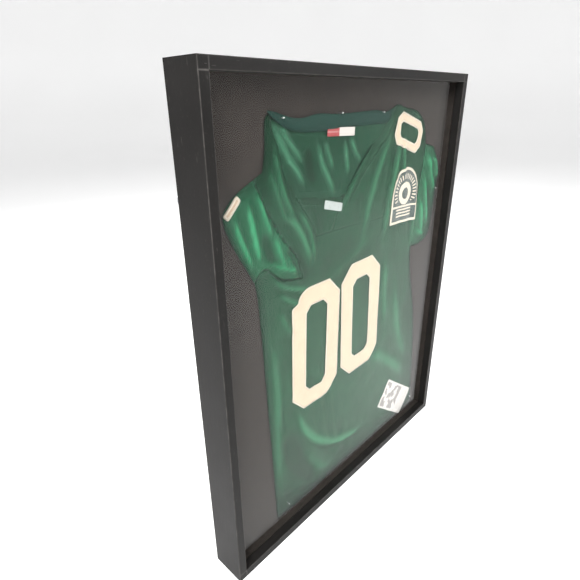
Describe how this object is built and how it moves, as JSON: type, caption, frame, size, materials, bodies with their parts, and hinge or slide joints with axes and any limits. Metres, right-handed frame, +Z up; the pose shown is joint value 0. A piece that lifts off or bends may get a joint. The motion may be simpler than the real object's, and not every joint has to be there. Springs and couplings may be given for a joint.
{
  "type": "jersey display frame",
  "caption": "Deep black wall or tabletop shadow-box frame holding a full-front football jersey behind clear glazing, with turn-button back and ring hangers.",
  "frame": {"origin": "middle of the underside of the bottom rail, mid-depth of the moulding", "axes": "+Z up, the glazed front faces -Y, +X to the viewer's right; the wall is on the +Y side"},
  "size_m": [0.66, 0.0691, 0.813],
  "materials": {
    "satin_black_moulding": "satin",
    "clear_acrylic": "polished",
    "charcoal_felt": "matte",
    "foam_board": "matte",
    "corrugated_card": "matte",
    "hardboard": "matte",
    "jersey_cloth": "satin",
    "collar_cloth": "matte",
    "twill": "matte",
    "woven_label": "satin",
    "foil_sticker": "gloss",
    "steel": "satin",
    "zinc_plate": "satin",
    "rubber": "matte"
  },
  "bodies": {
    "case": {"frame_rail_bottom": "satin_black_moulding", "frame_stile_right": "satin_black_moulding", "frame_rail_top": "satin_black_moulding", "frame_stile_left": "satin_black_moulding", "corner_nail_left_bottom": "steel", "corner_nail_right_bottom": "steel", "corner_nail_right_top": "steel", "corner_nail_left_top": "steel", "glazing_sheet": "clear_acrylic", "spacer_left": "charcoal_felt", "spacer_right": "charcoal_felt", "spacer_bottom": "charcoal_felt", "spacer_top": "charcoal_felt", "board_felt": "charcoal_felt", "display_board": "foam_board", "filler_board": "corrugated_card", "back_panel": "hardboard", "jersey_body": "jersey_cloth", "jersey_back_inside": "jersey_cloth", "jersey_sleeve_right": "jersey_cloth", "jersey_sleeve_left": "jersey_cloth", "jersey_collar": "collar_cloth", "pin_collar_left": "steel", "pin_collar_center": "steel", "pin_collar_right": "steel", "pin_sleeve_right": "steel", "pin_hem_left": "steel", "pin_hem_right": "steel", "numeral_chest_left": "twill", "numeral_chest_right": "twill", "numeral_shoulder_right": "twill", "numeral_shoulder_left": "twill", "sleeve_badge": "twill", "hem_tag": "woven_label", "neck_label": "woven_label", "front_sticker": "foil_sticker", "button_screw_left_lower": "steel", "button_screw_left_upper": "steel", "button_screw_right_lower": "steel", "button_screw_right_upper": "steel", "button_screw_top": "steel", "button_screw_bottom": "steel", "hanger_strap_left": "zinc_plate", "hanger_screw_left": "steel", "wall_bumper_left": "rubber", "hanger_strap_right": "zinc_plate", "hanger_screw_right": "steel", "wall_bumper_right": "rubber"},
    "turn_button_left_lower": {"turn_button_left_lower": "zinc_plate"},
    "turn_button_left_upper": {"turn_button_left_upper": "zinc_plate"},
    "turn_button_right_lower": {"turn_button_right_lower": "zinc_plate"},
    "turn_button_right_upper": {"turn_button_right_upper": "zinc_plate"},
    "turn_button_top": {"turn_button_top": "zinc_plate"},
    "turn_button_bottom": {"turn_button_bottom": "zinc_plate"},
    "hanger_ring_left": {"hanger_ring_left": "zinc_plate"},
    "hanger_ring_right": {"hanger_ring_right": "zinc_plate"}
  },
  "joints": [
    {"name": "turn_button_left_lower_turn", "type": "hinge", "parent": "case", "child": "turn_button_left_lower", "pos_m": [-0.3245, 0.03265, 0.21951], "axis": [0, 1, 0], "continuous": true},
    {"name": "turn_button_left_upper_turn", "type": "hinge", "parent": "case", "child": "turn_button_left_upper", "pos_m": [-0.3245, 0.03265, 0.51219], "axis": [0, 1, 0], "continuous": true},
    {"name": "turn_button_right_lower_turn", "type": "hinge", "parent": "case", "child": "turn_button_right_lower", "pos_m": [0.3245, 0.03265, 0.21951], "axis": [0, 1, 0], "continuous": true},
    {"name": "turn_button_right_upper_turn", "type": "hinge", "parent": "case", "child": "turn_button_right_upper", "pos_m": [0.3245, 0.03265, 0.51219], "axis": [0, 1, 0], "continuous": true},
    {"name": "turn_button_top_turn", "type": "hinge", "parent": "case", "child": "turn_button_top", "pos_m": [0, 0.03265, 0.8075], "axis": [0, 1, 0], "continuous": true},
    {"name": "turn_button_bottom_turn", "type": "hinge", "parent": "case", "child": "turn_button_bottom", "pos_m": [0, 0.03265, 0.0055], "axis": [0, 1, 0], "continuous": true},
    {"name": "hanger_ring_left_swing", "type": "hinge", "parent": "case", "child": "hanger_ring_left", "pos_m": [-0.3244, 0.0346, 0.65853], "axis": [1, 0, 0], "range_deg": [0, 180]},
    {"name": "hanger_ring_right_swing", "type": "hinge", "parent": "case", "child": "hanger_ring_right", "pos_m": [0.3244, 0.0346, 0.65853], "axis": [1, 0, 0], "range_deg": [0, 180]}
  ]
}
